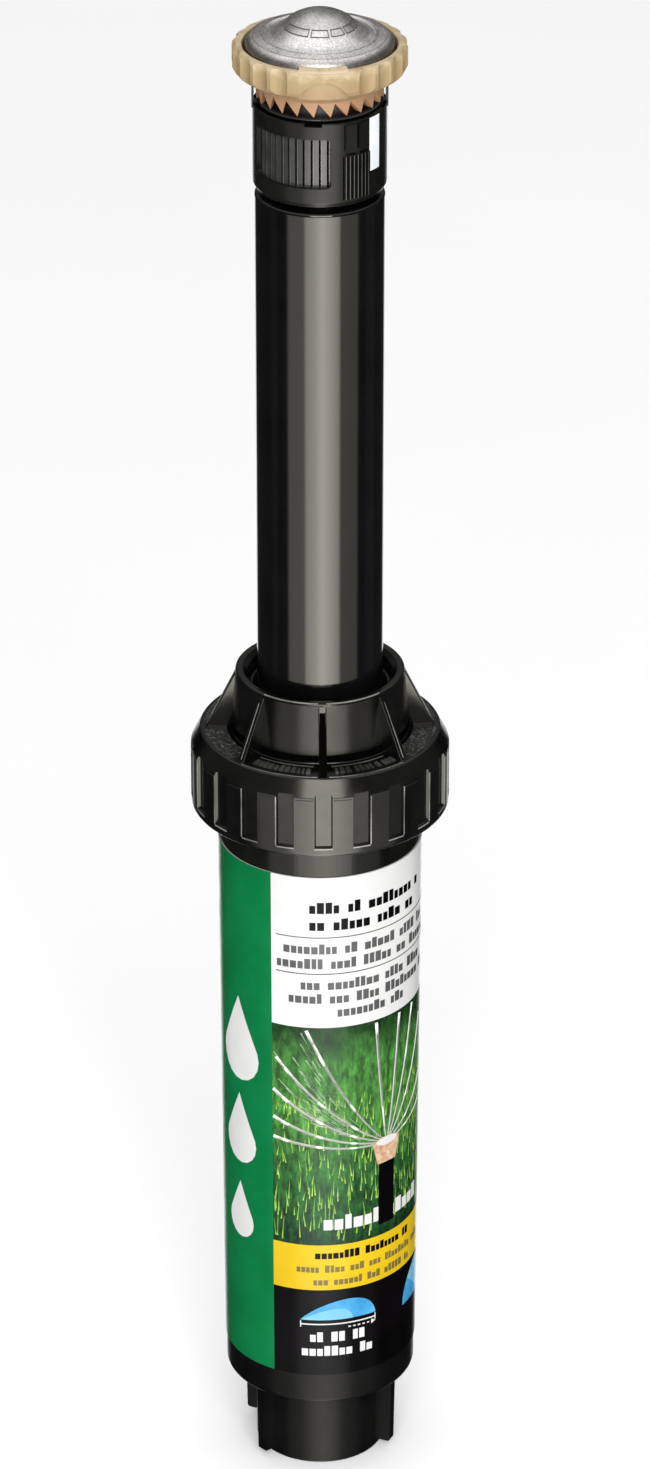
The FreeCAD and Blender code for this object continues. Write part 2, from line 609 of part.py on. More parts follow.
def arc_valve():
    low, top = CORE_TOP_Z + 0.4, CORE_TOP_Z + 1.8
    slot_inner, slot_outer, slot_spread = 3.9, 6.1, 90
    disc = ring(HUB_R + 0.4, STUB_R + RUN_GAP, low, top)
    slot = spun([(slot_inner, low - 1), (slot_outer, low - 1),
                 (slot_outer, top + 1), (slot_inner, top + 1)], slot_spread)
    return disc.cut(at_bearing(slot, -slot_spread / 2))


# --- Turret: deflector, brake and cover ---------------------------------------------------
def vane_groove():
    """Sloping round channel under the deflector, made along +X and swept a little sideways."""
    groove_r = 0.85
    foot, tip = Vector(3.0, 0, 259.6), Vector(13.4, 1.4, 263.5)
    return Part.makeCylinder(groove_r, (tip - foot).Length, foot, tip - foot)


def deflector_rotor():
    bore = SHAFT_R + RUN_GAP
    wall_r, wall_top = CHAMBER_R + 1.2, DISC_LOW_Z + LID_THICK
    body = spun([
        (bore, ROTOR_LOW_Z), (2.4, ROTOR_LOW_Z, 0.3), (4.2, 260.6, 1.5), (7.4, 262.2, 3.0),
        (ROTOR_R, 263.5, 0.3), (ROTOR_R, DISC_LOW_Z), (wall_r, DISC_LOW_Z), (wall_r, wall_top),
        (CHAMBER_R, wall_top), (CHAMBER_R, CHAMBER_FLOOR_Z), (bore, CHAMBER_FLOOR_Z)])
    return body.cut(around(vane_groove(), VANE_COUNT))


def thrust_washer():
    return ring(SHAFT_R + RUN_GAP, 2.3, ROTOR_LOW_Z - 0.6, ROTOR_LOW_Z)


def brake_stator():
    low, top = CHAMBER_FLOOR_Z + 0.4, CHAMBER_FLOOR_Z + 1.8
    dimple_r, dimple_place, dimple_count = 0.55, 4.0, 6
    disc = ring(SHAFT_R, CHAMBER_R - FREE_GAP * 2, low, top)
    dimple = Part.makeCylinder(dimple_r, top - low + 2, Vector(dimple_place, 0, low - 1))
    return disc.cut(around(dimple, dimple_count))


def brake_seal():
    cord_r = 0.3
    centre = Vector(CHAMBER_R - cord_r - 0.2, 0, DISC_LOW_Z - cord_r)
    section = Part.Face(Part.Wire(Part.makeCircle(cord_r, centre, Vector(0, 1, 0))))
    return section.revolve(Vector(0, 0, 0), Vector(0, 0, 1), 360)


def brake_lid():
    return ring(SHAFT_R + RUN_GAP, CHAMBER_R, DISC_LOW_Z, DISC_LOW_Z + LID_THICK)


def dome_z(radius, ball):
    """Height of the crown over a radius, for a ball round the same centre as the outer crown."""
    return DOME_TOP_Z - DOME_R + math.sqrt(ball * ball - radius * radius)


def cover_disc():
    """Domed metal cover: a ball-shaped crown, a cone down to a narrow step, and a bulging brim."""
    brim_bore = 10.4
    inner_ball = DOME_R - COVER_THICK
    inner_edge = DOME_EDGE_R - 0.6
    edge_z, inner_edge_z = dome_z(DOME_EDGE_R, DOME_R), dome_z(inner_edge, inner_ball)
    outer = [(DOME_EDGE_R, edge_z), (6.2, 269.8, 0.5), (8.0, 268.5, 1.4), (9.1, 268.15, 0.2),
             (9.5, 268.4, 0.2), (12.0, 267.75, 1.5), (DISC_R, 266.0, 0.3), (DISC_R - 0.1, DISC_LOW_Z)]
    inner = [(brim_bore, DISC_LOW_Z), (brim_bore, 266.9), (8.6, 267.3), (6.9, 268.1),
             (inner_edge, inner_edge_z)]
    skirt = spun(outer + inner)
    centre = Vector(0, 0, DOME_TOP_Z - DOME_R)
    crown = Part.makeSphere(DOME_R, centre).cut(Part.makeSphere(inner_ball, centre))
    keep = spun([(0, inner_edge_z), (inner_edge, inner_edge_z), (DOME_EDGE_R, edge_z),
                 (DOME_EDGE_R, DOME_TOP_Z + 1), (0, DOME_TOP_Z + 1)])
    return crown.common(keep).fuse(skirt)


# --- Export -------------------------------------------------------------------------------
PARTS = (body_case, label_sleeve, retract_spring, spring_washer, threaded_cap, wiper_seal,
         riser_stem, ratchet_ring, ratchet_retainer, filter_frame, filter_screen, nozzle_gasket,
         nozzle_base, edge_marker, radius_ring, nozzle_core, shaft_bush, deflector_shaft, shaft_clip,
         flush_spring, arc_collar, arc_valve, deflector_rotor, thrust_washer, brake_stator,
         brake_seal, brake_lid, cover_disc)

os.makedirs("parts", exist_ok=True)
for make in PARTS:
    shape = make()
    solids = shape.Solids
    print(make.__name__, "solids", len(solids), "valid", shape.isValid(), "volume", round(shape.Volume, 1))
    shape.exportStep("parts/" + make.__name__ + ".step")
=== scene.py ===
import math
import random

import bmesh
import bpy
from mathutils import Matrix, Vector
from mathutils.bvhtree import BVHTree


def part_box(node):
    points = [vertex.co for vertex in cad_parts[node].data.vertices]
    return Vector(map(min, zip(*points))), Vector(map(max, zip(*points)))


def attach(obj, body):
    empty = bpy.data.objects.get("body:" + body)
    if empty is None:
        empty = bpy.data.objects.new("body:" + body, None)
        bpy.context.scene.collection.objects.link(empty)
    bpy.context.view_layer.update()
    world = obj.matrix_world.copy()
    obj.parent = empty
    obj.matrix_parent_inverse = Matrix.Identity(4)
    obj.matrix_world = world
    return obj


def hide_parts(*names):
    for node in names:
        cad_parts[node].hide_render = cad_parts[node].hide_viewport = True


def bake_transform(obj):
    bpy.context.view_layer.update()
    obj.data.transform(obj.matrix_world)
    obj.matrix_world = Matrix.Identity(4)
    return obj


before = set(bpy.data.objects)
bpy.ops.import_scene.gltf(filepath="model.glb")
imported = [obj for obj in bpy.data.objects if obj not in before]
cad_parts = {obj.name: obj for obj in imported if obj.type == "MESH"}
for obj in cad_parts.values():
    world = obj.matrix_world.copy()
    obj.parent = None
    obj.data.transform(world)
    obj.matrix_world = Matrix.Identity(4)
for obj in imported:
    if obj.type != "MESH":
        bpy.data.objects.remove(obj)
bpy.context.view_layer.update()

# Pop-up sprinkler with its riser up. Metres, +Z up, the front faces -Y.
# Bearings are degrees from the front, positive towards +X.
MM = 0.001
ALL_ROUND = (-179.8, 179.8)     # bearings where a ring starts and ends
rng = random.Random(7)

# Label, and the bands of its front panel from the foot up
label_low, label_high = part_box("label_sleeve")
LABEL_BOTTOM = label_low.z
BLACK_TOP = 39.6 * MM
YELLOW_TOP = 48.8 * MM
LAWN_TOP = 92.6 * MM
LABEL_TOP = label_high.z
LABEL_TOP_R = label_high.x
LABEL_THICK = 0.2 * MM
LABEL_TAPER = 0.0066            # growth of the radius with height
FILM = 0.06 * MM                # how far a printed panel stands off the sleeve
INK = 0.03 * MM                 # how far a layer of print stands off its panel
GREEN_START = -122.0            # bearings where the panels meet
GREEN_EDGE = -28.6
FRONT_END = 122.0

# Case, and the cap with its grip pockets, deck and sloping neck
cap_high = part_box("threaded_cap")[1]
CASE_WALL_TOP = 128.0 * MM
CAP_R = cap_high.x
CAP_WALL_TOP = 139.2 * MM       # where the grip wall starts to slope in
CAP_TURN = 1.6                  # bearing of the middle of the first grip pocket and of the first gusset
POCKET_COUNT = 21
POCKET_STEP = 360 / POCKET_COUNT
POCKET_HALF = 4.02              # degrees from a pocket's middle to its side
POCKET_LOW = 130.0 * MM
GUSSET_COUNT = 8
GUSSET_STEP = 360 / GUSSET_COUNT
DECK_Z = 142.5 * MM
NECK_FOOT_R = 15.35 * MM
NECK_RIM_R = 14.4 * MM

# Barrel, the ribbed drum in its window, and the metal cover
BARREL_R = 11.05 * MM
BARREL_TOP = 256.8 * MM
GRIP_BEARINGS = (34.0, 214.0)   # middles of the two rows of fine ribs
GRIP_STEP = 3.8
GRIP_LOW = 243.3 * MM
GRIP_TOP = 250.8 * MM
DRUM_ROOT_R = 9.75 * MM
DRUM_RIB_COUNT = 48
DRUM_STEP = 360 / DRUM_RIB_COUNT
WINDOW_LOW = 245.4 * MM
WINDOW_TOP = 254.0 * MM
COVER_FOOT = 266.0 * MM
COVER_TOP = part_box("cover_disc")[1].z


# --- Node material helpers ----------------------------------------------------------------
class Shader:
    """A Principled material with short calls for the nodes that this object needs."""

    def __init__(self, name, **constants):
        self.material = bpy.data.materials.new(name)
        self.material.use_nodes = True
        self.tree = self.material.node_tree
        self.principled = self.tree.nodes["Principled BSDF"]
        self.position = self.node("ShaderNodeTexCoord").outputs["Object"]
        for socket, value in constants.items():
            self.principled.inputs[socket.replace("_", " ")].default_value = value

    def node(self, kind, inputs=None, **settings):
        made = self.tree.nodes.new(kind)
        for key, value in settings.items():
            setattr(made, key, value)
        for key, value in (inputs or {}).items():
            if isinstance(value, bpy.types.NodeSocket):
                self.tree.links.new(value, made.inputs[key])
            else:
                made.inputs[key].default_value = value
        return made

    def noise(self, size, detail=4.0, stretch=(1, 1, 1), rough=0.6):
        """Noise whose features are about size metres across."""
        mapped = self.node("ShaderNodeMapping", {"Vector": self.position, "Scale": stretch})
        made = self.node("ShaderNodeTexNoise", {"Vector": mapped.outputs[0], "Scale": 1 / size,
                                                "Detail": detail, "Roughness": rough})
        return made.outputs["Fac"]

    def ramp(self, factor, stops):
        """Colours by the factor. A stop is (place, colour)."""
        made = self.node("ShaderNodeValToRGB", {"Fac": factor})
        elements = made.color_ramp.elements
        elements[0].position, elements[0].color = stops[0][0], (*stops[0][1], 1.0)
        elements[1].position, elements[1].color = stops[-1][0], (*stops[-1][1], 1.0)
        for place, colour in stops[1:-1]:
            elements.new(place).color = (*colour, 1.0)
        return made.outputs["Color"]

    def span(self, factor, low, high, start=0.3, end=0.7):
        """Maps the factor from start..end to low..high."""
        made = self.node("ShaderNodeMapRange", {"Value": factor, "From Min": start, "From Max": end,
                                                "To Min": low, "To Max": high})
        return made.outputs["Result"]

    def sum(self, a, b, share=1.0):
        """The first factor plus a share of the second."""
        made = self.node("ShaderNodeMath", {0: b, 1: share, 2: a}, operation="MULTIPLY_ADD")
        return made.outputs[0]

    def multiply(self, a, b):
        """One colour times another. They go into sockets 6 and 7, and the colour comes out of socket 2."""
        made = self.node("ShaderNodeMix", {"Factor": 1.0, 6: a, 7: b}, data_type="RGBA",
                         blend_type="MULTIPLY")
        return made.outputs[2]

    def level(self, low, high):
        """The height as a share of the way from low to high."""
        height = self.node("ShaderNodeSeparateXYZ", {0: self.position}).outputs["Z"]
        return self.span(height, 0, 1, low, high)

    def colour(self, value):
        self.tree.links.new(value, self.principled.inputs["Base Color"])

    def rough(self, value):
        self.tree.links.new(value, self.principled.inputs["Roughness"])

    def bump(self, height, depth):
        """Relief of about depth metres where the height factor goes from 0 to 1."""
        made = self.node("ShaderNodeBump", {"Height": height, "Strength": 1.0, "Distance": depth})
        self.tree.links.new(made.outputs[0], self.principled.inputs["Normal"])


WARM_SHEEN = (1.0, 0.965, 0.84, 1.0)


def moulded_plastic(name, dark, light, rough=(0.3, 0.42), grain=0.35 * MM, depth=0.006 * MM, specular=0.5):
    """Moulded plastic: soft colour drift, uneven sheen and a fine eggshell grain."""
    made = Shader(name, Specular_IOR_Level=specular, Specular_Tint=WARM_SHEEN)
    made.colour(made.ramp(made.noise(9 * MM), [(0.35, dark), (0.65, light)]))
    made.rough(made.span(made.noise(2.2 * MM, detail=6), *rough))
    flow = made.noise(6 * MM, stretch=(1, 1, 0.25))
    made.bump(made.sum(made.noise(grain, detail=3), flow, 1.5), depth)
    return made.material


def brushed_steel(name, dark, light, grain, depth=0.01 * MM, heights=(0, 1), painted_light_stops=None):
    """Stainless steel with a fine grain. Painted light stops, when given, darken or brighten it up its
    heights.
    """
    made = Shader(name, Metallic=1.0)
    speckle = made.sum(made.noise(grain, detail=6), made.noise(3.5 * MM), 0.55)
    colour = made.ramp(speckle, [(0.55, dark), (0.95, light)])
    if painted_light_stops:
        colour = made.multiply(colour, made.ramp(made.level(*heights), painted_light_stops))
    made.colour(colour)
    made.rough(made.span(made.noise(grain * 2), 0.3, 0.45))
    made.bump(made.noise(grain, detail=5), depth)
    return made.material


def rubber(name):
    made = Shader(name, Specular_IOR_Level=0.35)
    made.colour(made.ramp(made.noise(2 * MM), [(0.3, (0.006, 0.006, 0.007)), (0.7, (0.013, 0.013, 0.014))]))
    made.rough(made.span(made.noise(0.8 * MM), 0.5, 0.68))
    made.bump(made.noise(0.25 * MM), 0.01 * MM)
    return made.material


def speckled_black():
    """Spark-eroded black plastic: coarse bright and dark grains."""
    made = Shader("grained_black", Specular_IOR_Level=0.4)
    grains = made.noise(0.42 * MM, detail=2)
    made.colour(made.ramp(grains, [(0.42, (0.003, 0.003, 0.003)), (0.54, (0.012, 0.012, 0.011)),
                                   (0.66, (0.09, 0.09, 0.085))]))
    made.rough(made.span(grains, 0.3, 0.45))
    made.bump(grains, 0.2 * MM)
    return made.material


def collar_plastic():
    """Tan acetal: paler towards the grip rim, ruddier below it and darkest at its foot, partly as painted
    shade, with painted shade behind the teeth.
    """
    made = Shader("collar_tan")
    low, high = (corner.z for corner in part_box("arc_collar"))
    mottled = made.sum(made.level(low, high), made.span(made.noise(2.5 * MM), -0.5, 0.5), 0.22)
    tan = made.ramp(mottled, [(0.0, (0.31, 0.155, 0.075)), (0.3, (0.41, 0.215, 0.112)),
                              (0.55, (0.34, 0.215, 0.108)), (0.85, (0.36, 0.265, 0.130)),
                              (1.0, (0.53, 0.42, 0.265))])
    # Painted shade: near black inside the teeth's radius, in the hollows behind them.
    flat = made.node("ShaderNodeVectorMath", {0: made.position, 1: (1, 1, 0)}, operation="MULTIPLY")
    radius = made.node("ShaderNodeVectorMath", {0: flat.outputs[0]}, operation="LENGTH").outputs["Value"]
    depth = made.span(radius, 0, 1, 9.2 * MM, 9.9 * MM)
    shade = made.ramp(depth, [(0.0, (0.02, 0.015, 0.01)), (1.0, (1.0, 1.0, 1.0))])
    made.colour(made.multiply(tan, shade))
    made.rough(made.span(made.noise(1.2 * MM), 0.40, 0.55))
    made.bump(made.sum(made.noise(0.4 * MM, detail=3), made.noise(3 * MM), 2.0), 0.02 * MM)
    return made.material


def printed_ink(name, dark, light, drift=14 * MM, specular=0.16):
    """Printed and laminated film: a slight drift in the ink under a smooth, faintly rippled gloss."""
    made = Shader(name, Specular_IOR_Level=specular)
    made.colour(made.ramp(made.noise(drift), [(0.35, dark), (0.65, light)]))
    made.rough(made.span(made.noise(4 * MM), 0.16, 0.26))
    made.bump(made.noise(5 * MM, stretch=(1, 1, 0.4)), 0.012 * MM)
    return made.material


def lawn_ink():
    """The printed lawn: dark hedge at the top, bright turf in the middle and shade at the foot."""
    made = Shader("lawn_ink", Specular_IOR_Level=0.12)
    blades = made.noise(1.1 * MM, detail=8, stretch=(1.0, 1.0, 0.35), rough=0.7)
    clumps = made.noise(6 * MM, detail=5, stretch=(1, 1, 0.7))
    ragged = made.sum(made.sum(made.level(YELLOW_TOP, LAWN_TOP), clumps, 0.35), blades, 0.16)
    base = made.ramp(made.span(ragged, 0, 1, 0.2, 1.3),
                     [(0.05, (0.008, 0.050, 0.015)), (0.32, (0.026, 0.125, 0.030)),
                      (0.60, (0.075, 0.26, 0.050)), (0.80, (0.060, 0.22, 0.045)),
                      (0.93, (0.010, 0.045, 0.010))])
    tips = made.ramp(blades, [(0.40, (0.35, 0.35, 0.35)), (0.62, (1.3, 1.3, 1.2))])
    made.colour(made.multiply(base, tips))
    made.rough(made.span(blades, 0.2, 0.3))
    return made.material


# --- Mesh helpers -------------------------------------------------------------------------
SHARP_ANGLE = 40        # a fold over this many degrees stays a sharp edge
CURVE_STEP = 3          # degrees between the cuts that let a patch follow a curve
SMALL_STEP = 6          # the same for a small patch
TINY_STEP = 20          # and for a tiny one


def new_piece(name, fill, material, body):
    """Makes a mesh object from a bmesh filler, gives it its material and slot, and lets it ride a body."""
    mesh = bpy.data.meshes.new(name)
    shape = bmesh.new()
    fill(shape)
    bmesh.ops.remove_doubles(shape, verts=shape.verts, dist=1e-7)
    bmesh.ops.recalc_face_normals(shape, faces=shape.faces)
    for face in shape.faces:
        face.smooth = True
    for edge in shape.edges:
        if len(edge.link_faces) == 2 and edge.calc_face_angle() > math.radians(SHARP_ANGLE):
            edge.smooth = False
    shape.to_mesh(mesh)
    shape.free()
    piece = bpy.data.objects.new(name, mesh)
    bpy.context.scene.collection.objects.link(piece)
    mesh.materials.append(material)
    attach(piece, body)
    return piece


def polar(bearing, radius, z):
    """The point at a bearing and a radius from the sprinkler's axis."""
    angle = math.radians(bearing)
    return Vector((radius * math.sin(angle), -radius * math.cos(angle), z))


def label_r(z):
    """Outer radius of the printed sleeve at a height."""
    return LABEL_TOP_R - LABEL_TAPER * (LABEL_TOP - z)


def on_label(bearing, z, lift):
    """The placer for the printed sleeve: a point that stands off it by the lift."""
    return polar(bearing, label_r(z) + lift, z)


def on_wall(radius):
    """A placer for patches whose outline is (bearing, z) on an upright round wall."""
    def place(bearing, z, lift):
        return polar(bearing, radius + lift, z)
    return place


def on_top_of(node):
    """A placer for patches whose outline is (bearing, radius) on a CAD node's upper surface."""
    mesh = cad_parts[node].data
    tree = BVHTree.FromPolygons([v.co for v in mesh.vertices], [p.vertices for p in mesh.polygons])

    def place(bearing, radius, lift):
        spot = polar(bearing, radius, 1.0)
        spot.z = tree.ray_cast(spot, Vector((0, 0, -1)))[0].z + lift
        return spot
    return place


def add_patch(shape, outline, low, high, place=on_label, step=CURVE_STEP):
    """A thin closed plate from low to high off a surface. The outline is points that the placer takes."""
    rim = []
    for i, (b0, z0) in enumerate(outline):
        b1, z1 = outline[(i + 1) % len(outline)]
        parts = max(1, math.ceil(abs(b1 - b0) / step))
        rim += [(b0 + (b1 - b0) * k / parts, z0 + (z1 - z0) * k / parts) for k in range(parts)]
    flat = bmesh.new()
    flat.faces.new([flat.verts.new((b, 0, z / MM)) for b, z in rim])
    lowest, highest = min(b for b, z in rim), max(b for b, z in rim)
    cut = math.floor(lowest / step) * step + step
    while cut < highest - 1e-6:
        geometry = flat.verts[:] + flat.edges[:] + flat.faces[:]
        bmesh.ops.bisect_plane(flat, geom=geometry, plane_co=(cut, 0, 0), plane_no=(1, 0, 0), dist=1e-6)
        cut += step
    flat.verts.index_update()
    tops = [shape.verts.new(place(v.co.x, v.co.z * MM, high)) for v in flat.verts]
    feet = [shape.verts.new(place(v.co.x, v.co.z * MM, low)) for v in flat.verts]
    for face in flat.faces:
        ids = [v.index for v in face.verts]
        shape.faces.new([tops[i] for i in ids])
        shape.faces.new([feet[i] for i in reversed(ids)])
    for edge in flat.edges:
        if len(edge.link_faces) == 1:
            a, b = (v.index for v in edge.verts)
            shape.faces.new([tops[a], tops[b], feet[b], feet[a]])
    flat.free()


def rectangle(left, right, bottom, top):
    return [(left, bottom), (right, bottom), (right, top), (left, top)]


def bar(middle, half, bottom, top):
    """A rectangle that reaches as far to each side of a middle bearing."""
    return rectangle(middle - half, middle + half, bottom, top)


def degrees_wide(length, z):
    """The bearing that a length takes on the label at a height."""
    return math.degrees(length / label_r(z))


# --- Materials ----------------------------------------------------------------------------
case_black = moulded_plastic("case_black", (0.0025, 0.0025, 0.003), (0.005, 0.005, 0.005), rough=(0.26, 0.36),
                             specular=0.10)
cap_black = moulded_plastic("cap_black", (0.002, 0.002, 0.0022), (0.005, 0.005, 0.0048), rough=(0.16, 0.24),
                            grain=0.5 * MM, depth=0.003 * MM, specular=0.4)
band_black = moulded_plastic("band_black", (0.003, 0.003, 0.003), (0.007, 0.007, 0.006), rough=(0.14, 0.2),
                             specular=0.24)
riser_black = moulded_plastic("riser_black", (0.002, 0.002, 0.0024), (0.004, 0.004, 0.0045),
                              rough=(0.07, 0.11), depth=0.002 * MM)
nozzle_black = moulded_plastic("nozzle_black", (0.005, 0.005, 0.004), (0.010, 0.010, 0.009),
                               rough=(0.22, 0.30), specular=0.19)
# The drum's base is lighter than the barrel's black: painted sheen that stands in for the reflections on its
# ribs.
drum_black = moulded_plastic("drum_black", (0.026, 0.028, 0.026), (0.046, 0.048, 0.044), rough=(0.16, 0.24),
                             specular=0.38)
# Matte near-black for painted shade.
shade_black = moulded_plastic("shade_black", (0.0004, 0.0004, 0.0005), (0.0015, 0.0015, 0.0015),
                              rough=(0.7, 0.9), specular=0.02)
# Glossy black with a lighter base than the cap: real gloss and painted glints, for the cap's raised marks.
glossy_glint_black = moulded_plastic("glossy_glint_black", (0.012, 0.012, 0.012), (0.07, 0.07, 0.068), rough=(0.1, 0.16),
                               specular=0.8)
grained_black = speckled_black()
# Lighter plastics for painted highlights on edges, lips and ridges.
edge_highlight = moulded_plastic("edge_highlight", (0.04, 0.04, 0.038), (0.14, 0.14, 0.13), rough=(0.12, 0.2))
lip_highlight = moulded_plastic("lip_highlight", (0.10, 0.10, 0.095), (0.36, 0.35, 0.33), rough=(0.12, 0.2))
engraved_line = moulded_plastic("engraved_line", (0.045, 0.030, 0.030), (0.12, 0.09, 0.09), rough=(0.5, 0.7))
collar_tan = collar_plastic()
inner_white = moulded_plastic("inner_white", (0.62, 0.62, 0.57), (0.75, 0.75, 0.70))
marker_white = moulded_plastic("marker_white", (0.75, 0.78, 0.80), (0.86, 0.88, 0.90))
filter_green = moulded_plastic("filter_green", (0.03, 0.16, 0.09), (0.05, 0.24, 0.13))
ratchet_grey = moulded_plastic("ratchet_grey", (0.16, 0.17, 0.18), (0.24, 0.25, 0.26))
seal_rubber = rubber("seal_rubber")

# Painted light up the cover: painted shade at its foot, a painted highlight on its shoulder and a painted
# duller crown.
COVER_PAINTED_LIGHT = [(0.0, (0.05, 0.045, 0.04)), (0.09, (0.52, 0.50, 0.49)), (0.25, (0.66, 0.64, 0.62)),
               (0.30, (0.98, 0.95, 0.93)), (0.45, (1.05, 1.05, 1.03)), (0.56, (1.05, 1.05, 1.03)),
               (0.75, (0.74, 0.74, 0.72)), (1.0, (0.66, 0.66, 0.65))]
cover_steel = brushed_steel("cover_steel", (0.38, 0.375, 0.36), (0.92, 0.91, 0.89), 0.28 * MM,
                            depth=0.012 * MM, heights=(COVER_FOOT, COVER_TOP), painted_light_stops=COVER_PAINTED_LIGHT)
groove_steel = brushed_steel("groove_steel", (0.16, 0.155, 0.15), (0.45, 0.44, 0.43), 0.28 * MM)
wire_steel = brushed_steel("wire_steel", (0.40, 0.41, 0.42), (0.62, 0.63, 0.64), 0.4 * MM, depth=0.004 * MM)
screen_steel = brushed_steel("screen_steel", (0.20, 0.21, 0.22), (0.60, 0.61, 0.62), 0.3 * MM,
                             depth=0.05 * MM)

green_ink = printed_ink("green_ink", (0.0, 0.150, 0.040), (0.002, 0.185, 0.055))
white_ink = printed_ink("white_ink", (0.68, 0.68, 0.67), (0.74, 0.74, 0.73))
yellow_ink = printed_ink("yellow_ink", (0.66, 0.43, 0.003), (0.74, 0.50, 0.006))
black_ink = printed_ink("black_ink", (0.001, 0.001, 0.001), (0.003, 0.002, 0.003), specular=0.05)
grey_ink = printed_ink("grey_ink", (0.07, 0.07, 0.07), (0.11, 0.11, 0.11))
bronze_ink = printed_ink("bronze_ink", (0.13, 0.10, 0.03), (0.20, 0.15, 0.04))
stream_ink = printed_ink("stream_ink", (0.80, 0.84, 0.72), (0.95, 0.96, 0.90))
mist_ink = printed_ink("mist_ink", (0.20, 0.34, 0.17), (0.42, 0.55, 0.36), drift=3 * MM)
sky_ink = printed_ink("sky_ink", (0.16, 0.48, 0.70), (0.24, 0.56, 0.78))
blue_ink = printed_ink("blue_ink", (0.03, 0.27, 0.58), (0.09, 0.42, 0.72), drift=5 * MM)
blade_ink = printed_ink("blade_ink", (0.10, 0.30, 0.02), (0.42, 0.66, 0.12), drift=1.6 * MM)
tan_ink = printed_ink("tan_ink", (0.45, 0.25, 0.14), (0.75, 0.52, 0.36), drift=1.2 * MM)
lawn = lawn_ink()

NODE_MATERIALS = {
    "body_case": case_black, "threaded_cap": cap_black, "wiper_seal": seal_rubber,
    "spring_washer": ratchet_grey, "ratchet_ring": ratchet_grey, "ratchet_retainer": ratchet_grey,
    "riser_stem": riser_black, "filter_frame": filter_green, "filter_screen": screen_steel,
    "nozzle_gasket": seal_rubber, "nozzle_base": nozzle_black, "edge_marker": marker_white,
    "nozzle_core": nozzle_black, "shaft_bush": inner_white, "radius_ring": drum_black,
    "arc_collar": collar_tan, "arc_valve": inner_white, "deflector_shaft": wire_steel,
    "shaft_clip": wire_steel, "brake_stator": inner_white, "flush_spring": wire_steel,
    "retract_spring": wire_steel, "deflector_rotor": nozzle_black, "thrust_washer": inner_white,
    "brake_seal": seal_rubber, "brake_lid": inner_white, "cover_disc": cover_steel,
    "label_sleeve": white_ink,
}
for node_name, node_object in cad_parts.items():
    node_object.data.materials.clear()
    node_object.data.materials.append(NODE_MATERIALS[node_name])


# --- Printed sleeve -----------------------------------------------------------------------
def printed(name, fill, material):
    """A piece of the printed film, which rides the case."""
    new_piece(name, fill, material, "case")


def sleeve_patch(name, outline, material, high=FILM):
    printed(name, lambda shape: add_patch(shape, outline, 0.0, high), material)


def add_ink(shape, outline, layers=1.0, step=CURVE_STEP):
    """A flat printed shape on the sleeve, as high as its layers of ink."""
    add_patch(shape, outline, FILM, FILM + INK * layers, step=step)


def sleeve_panels():
    sleeve_patch("sleeve_green", rectangle(GREEN_START, GREEN_EDGE, LABEL_BOTTOM, LABEL_TOP), green_ink)
    sleeve_patch("sleeve_black", rectangle(GREEN_EDGE, FRONT_END, LABEL_BOTTOM, BLACK_TOP), black_ink)
    sleeve_patch("sleeve_yellow", rectangle(GREEN_EDGE, FRONT_END, BLACK_TOP, YELLOW_TOP), yellow_ink)
    sleeve_patch("sleeve_lawn", rectangle(GREEN_EDGE, FRONT_END, YELLOW_TOP, LAWN_TOP), lawn)


# Word blocks, as shares of a line's height.
STROKE_WIDTH = 0.52
SHORT_STROKE = 0.72
LETTER_GAP = 0.13
WORD_GAP = 0.62
LINE_REST = 1.5         # degrees left at a line's end where no word starts


def text_line(shape, start, end, z, height):
    """A line of blank word blocks in place of print: rows of short strokes, split into words."""
    bearing = start
    while bearing < end - LINE_REST:
        letters = rng.randint(2, 8)
        for _ in range(letters):
            tall = rng.random() < 0.35
            wide = degrees_wide(height * STROKE_WIDTH * rng.uniform(0.75, 1.15), z)
            if bearing + wide > end:
                return
            top = z + height * (1.0 if tall else SHORT_STROKE)
            add_ink(shape, rectangle(bearing, bearing + wide, z, top), step=SMALL_STEP)
            bearing += wide + degrees_wide(height * LETTER_GAP, z)
        bearing += degrees_wide(height * WORD_GAP, z)


def sleeve_print(name, material, lines):
    """Lines of word blocks in one ink. A line is (start bearing, end bearing, foot, height)."""
    def fill(shape):
        for start, end, foot, height in lines:
            text_line(shape, start, end, foot * MM, height * MM)
    printed(name, fill, material)


def front_print():
    """The white front panel, and the word blocks on it and on the three bands below."""
    sleeve_patch("sleeve_white", rectangle(GREEN_EDGE, FRONT_END, LAWN_TOP, LABEL_TOP), white_ink)
    sleeve_print("print_heading", black_ink, [(-6, 73, 115.0, 2.15), (-6, 72, 111.7, 2.15)])
    sleeve_print("print_second", grey_ink, [(-21, 89, 107.1, 1.95), (-25, 90, 104.2, 1.95)])
    sleeve_print("print_third", grey_ink, [(-11, 79, 100.1, 1.9), (-18, 85, 97.4, 1.9), (10, 58, 94.7, 1.9)])
    sleeve_print("print_yellow_heading", black_ink, [(-3, 64, 46.0, 1.6)])
    sleeve_print("print_yellow", bronze_ink, [(-14, 80, 43.2, 1.45), (-4, 65, 40.6, 1.45)])
    sleeve_print("print_black", white_ink, [(-6, 28, 28.9, 2.0), (-11, 33, 26.0, 2.0)])
    sleeve_print("print_lawn", white_ink, [(2, 76, 51.9, 2.9)])

    def rules(shape):
        for z in (110.2 * MM, 103.1 * MM):
            add_ink(shape, rectangle(GREEN_EDGE + 3, 95, z, z + 0.18 * MM))
    printed("print_rules", rules, grey_ink)


CURVE_PARTS = 14


def curve_points(points, parts=CURVE_PARTS):
    """Points of a Bezier curve of any degree, by interpolating again and again between its control points."""
    made = []
    for i in range(parts + 1):
        t = i / parts
        left = list(points)
        while len(left) > 1:
            left = [(a[0] + (b[0] - a[0]) * t, a[1] + (b[1] - a[1]) * t) for a, b in zip(left, left[1:])]
        made.append(left[0])
    return made


